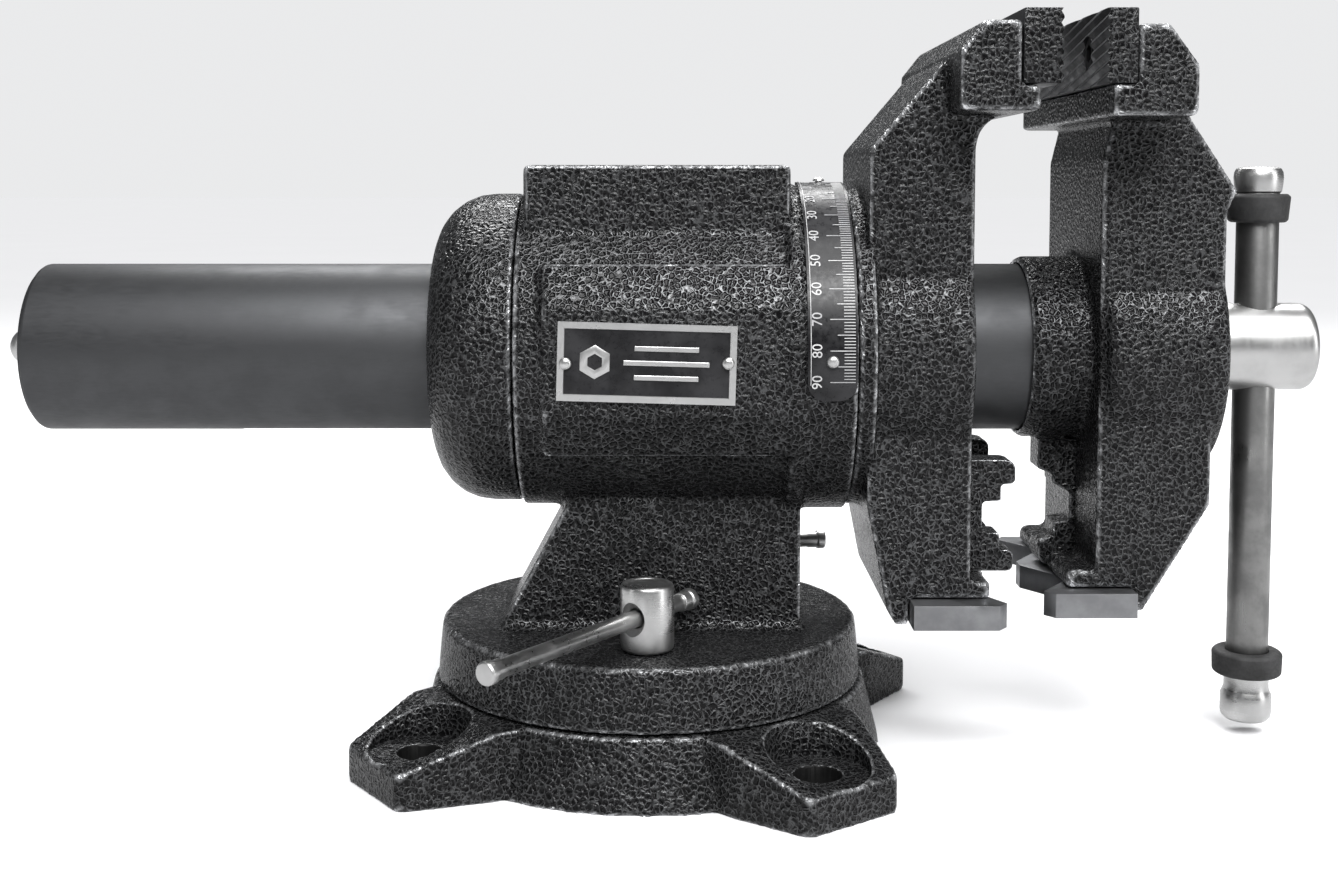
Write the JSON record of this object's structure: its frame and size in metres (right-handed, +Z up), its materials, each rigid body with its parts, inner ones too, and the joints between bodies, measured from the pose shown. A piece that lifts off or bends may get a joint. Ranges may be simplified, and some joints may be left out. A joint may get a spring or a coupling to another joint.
{
  "type": "rotating bench vise",
  "caption": "Rotating multi-purpose bench vise: swivel base, turning head on a round slide tube, flat jaws above, pipe jaws and vee plates below, sliding T-handle.",
  "frame": {"origin": "on the swivel axis, in the bench plane under the base", "axes": "+X along the spindle towards the handle, +Y to the side away from the nameplate, +Z up"},
  "size_m": [0.4316, 0.2046, 0.236],
  "materials": {
    "hammertone_paint": "glossy charcoal hammertone enamel on cast iron",
    "gunmetal_tube": "dark satin ground steel",
    "plated_steel": "bright zinc or nickel plate",
    "machined_steel": "milled steel, satin",
    "hardened_insert": "hardened steel, serrated face",
    "black_screw": "black oxide",
    "bronze": "machined bronze",
    "rubber": "matte black rubber",
    "printed_plate": "black printed sheet metal with light marks"
  },
  "bodies": {
    "base": {"base_casting": "hammertone_paint"},
    "turntable": {"body_casting": "hammertone_paint", "rear_cap": "hammertone_paint", "pivot_pin": "machined_steel", "front_t_bolt": "black_screw", "rear_t_bolt": "black_screw", "nameplate": "printed_plate", "nameplate_rivet_left": "plated_steel", "nameplate_rivet_right": "plated_steel", "angle_scale": "printed_plate", "angle_scale_rivet_low": "plated_steel", "angle_scale_rivet_high": "plated_steel", "head_lock_pad": "bronze"},
    "front_lock": {"front_lock_nut": "plated_steel"},
    "front_bar": {"front_lock_bar": "plated_steel", "front_lock_bar_cap": "plated_steel"},
    "rear_lock": {"rear_lock_nut": "plated_steel"},
    "rear_bar": {"rear_lock_bar": "plated_steel", "rear_lock_bar_cap": "plated_steel"},
    "head_lock": {"head_lock_screw": "plated_steel"},
    "head_bar": {"head_lock_bar": "plated_steel", "head_lock_bar_cap": "plated_steel"},
    "head": {"fixed_jaw": "hammertone_paint", "barrel_retainer": "machined_steel", "retainer_screw_1": "black_screw", "retainer_screw_2": "black_screw", "retainer_screw_3": "black_screw", "fixed_insert": "hardened_insert", "fixed_insert_screw_near": "black_screw", "fixed_insert_screw_far": "black_screw", "fixed_pipe_jaw": "hammertone_paint", "fixed_pipe_jaw_screw": "black_screw", "fixed_vee_plate": "machined_steel", "fixed_vee_screw_near": "black_screw", "fixed_vee_screw_far": "black_screw", "spindle_nut": "bronze", "nut_key": "machined_steel"},
    "slider": {"moving_jaw": "hammertone_paint", "slide_tube": "gunmetal_tube", "tube_pin": "machined_steel", "tube_cap": "gunmetal_tube", "tube_cap_screw": "plated_steel", "moving_insert": "hardened_insert", "moving_insert_screw_near": "black_screw", "moving_insert_screw_far": "black_screw", "moving_pipe_jaw": "hammertone_paint", "moving_pipe_jaw_pin": "machined_steel", "moving_vee_plate": "machined_steel", "moving_vee_screw_near": "black_screw", "moving_vee_screw_far": "black_screw", "thrust_washer": "machined_steel"},
    "screw": {"spindle": "plated_steel", "spindle_stop": "machined_steel", "spindle_stop_pin": "machined_steel"},
    "handle": {"handle_bar": "plated_steel", "handle_knob_top": "plated_steel", "handle_knob_bottom": "plated_steel", "handle_ring_top": "rubber", "handle_ring_bottom": "rubber"}
  },
  "joints": [
    {"name": "swivel", "type": "hinge", "parent": "base", "child": "turntable", "pos_m": [0, 0, 0.0215], "axis": [0, 0, 1], "continuous": true},
    {"name": "head_turn", "type": "hinge", "parent": "turntable", "child": "head", "pos_m": [0.064, 0, 0.1308], "axis": [1, 0, 0], "continuous": true},
    {"name": "jaw_slide", "type": "slide", "parent": "head", "child": "slider", "axis": [1, 0, 0], "range_m": [-0.0118, 0.112]},
    {"name": "spindle_turn", "type": "hinge", "parent": "slider", "child": "screw", "pos_m": [0.183, 0, 0.1308], "axis": [1, 0, 0], "range_deg": [-850, 8066]},
    {"name": "handle_slide", "type": "slide", "parent": "screw", "child": "handle", "axis": [0, 0, 1], "range_m": [-0.0265, 0.088]},
    {"name": "front_lock_turn", "type": "hinge", "parent": "turntable", "child": "front_lock", "pos_m": [0, -0.048, 0.0418], "axis": [0, 0, 1], "range_deg": [-60, 0]},
    {"name": "front_bar_slide", "type": "slide", "parent": "front_lock", "child": "front_bar", "axis": [-0.5693, -0.8221, 0], "range_m": [0, 0.0085]},
    {"name": "rear_lock_turn", "type": "hinge", "parent": "turntable", "child": "rear_lock", "pos_m": [0, 0.048, 0.0418], "axis": [0, 0, 1], "range_deg": [-28, 25]},
    {"name": "rear_bar_slide", "type": "slide", "parent": "rear_lock", "child": "rear_bar", "axis": [0.9833, 0.1822, 0], "range_m": [-0.05, 0.018]},
    {"name": "head_lock_turn", "type": "hinge", "parent": "turntable", "child": "head_lock", "pos_m": [0.006, 0.065, 0.1308], "axis": [0, 1, 0], "range_deg": [-60, 60]},
    {"name": "head_bar_slide", "type": "slide", "parent": "head_lock", "child": "head_bar", "axis": [0.5, 0, 0.866], "range_m": [-0.022, 0.022]}
  ],
  "couplings": [
    {"joint": "spindle_turn", "follows": "jaw_slide", "rad_per_m": 1256.6}
  ]
}
